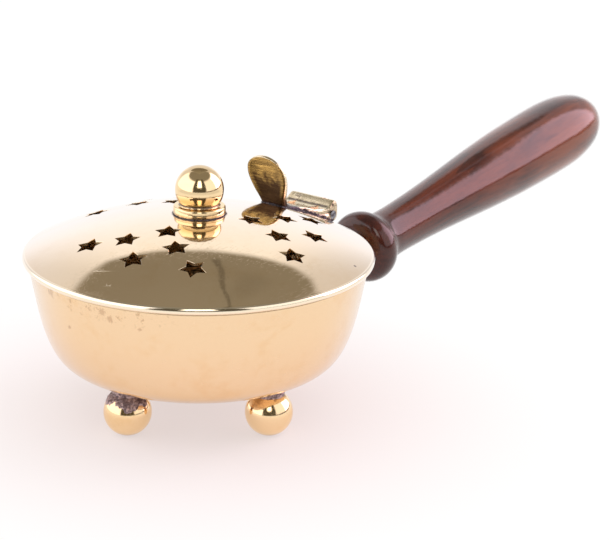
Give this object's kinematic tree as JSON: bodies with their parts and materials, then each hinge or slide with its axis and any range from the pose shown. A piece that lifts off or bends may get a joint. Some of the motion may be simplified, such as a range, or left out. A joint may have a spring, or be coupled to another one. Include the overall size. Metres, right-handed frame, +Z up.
{
  "type": "hand censer",
  "caption": "Hand censer: round brass fire bowl on ball feet with a hinged star-pierced domed lid, ball knob, thumb lift, inner fire pan and a turned wooden handle.",
  "frame": {"origin": "on the bowl's axis, on the plane the ball feet stand on", "axes": "+Z up along the bowl's axis, +X from the bowl along the handle, +Y along the hinge pin"},
  "size_m": [0.3041, 0.113, 0.0823],
  "materials": {
    "bowl_brass": "spun and buffed, warm satin",
    "lid_brass": "spun and mirror polished",
    "cast_brass": "cast, filed and polished",
    "inner_brass": "dull, heat tinted",
    "pin_brass": "tarnished dark",
    "braze": "burnt flux and braze, rough",
    "steel": "dull steel",
    "handle_wood": "stained red-brown, gloss lacquer"
  },
  "bodies": {
    "bowl": {"bowl_shell": "bowl_brass", "foot_handle_side": "cast_brass", "foot_left": "cast_brass", "foot_front": "cast_brass", "foot_right": "cast_brass", "foot_braze": "braze", "hinge_bracket": "cast_brass", "hinge_rivets": "cast_brass", "hinge_pin": "pin_brass", "handle_bracket": "cast_brass", "bracket_rivets": "cast_brass", "handle_ferrule": "cast_brass", "handle_stud": "steel", "wooden_handle": "handle_wood"},
    "lid": {"lid_shell": "lid_brass", "knob_flange": "cast_brass", "knob_ball": "cast_brass", "knob_washer": "inner_brass", "knob_screw": "steel", "thumb_lift": "cast_brass", "hinge_leaf": "cast_brass"},
    "pan": {"fire_pan": "inner_brass", "ember_grate": "steel", "pan_lugs": "inner_brass"}
  },
  "joints": [
    {"name": "lid_hinge", "type": "hinge", "parent": "bowl", "child": "lid", "pos_m": [0.0595, 0, 0.0545], "axis": [0, 1, 0], "range_deg": [0, 100]},
    {"name": "pan_lift", "type": "slide", "parent": "bowl", "child": "pan", "axis": [0, 0, 1], "range_m": [0, 0.01]}
  ]
}
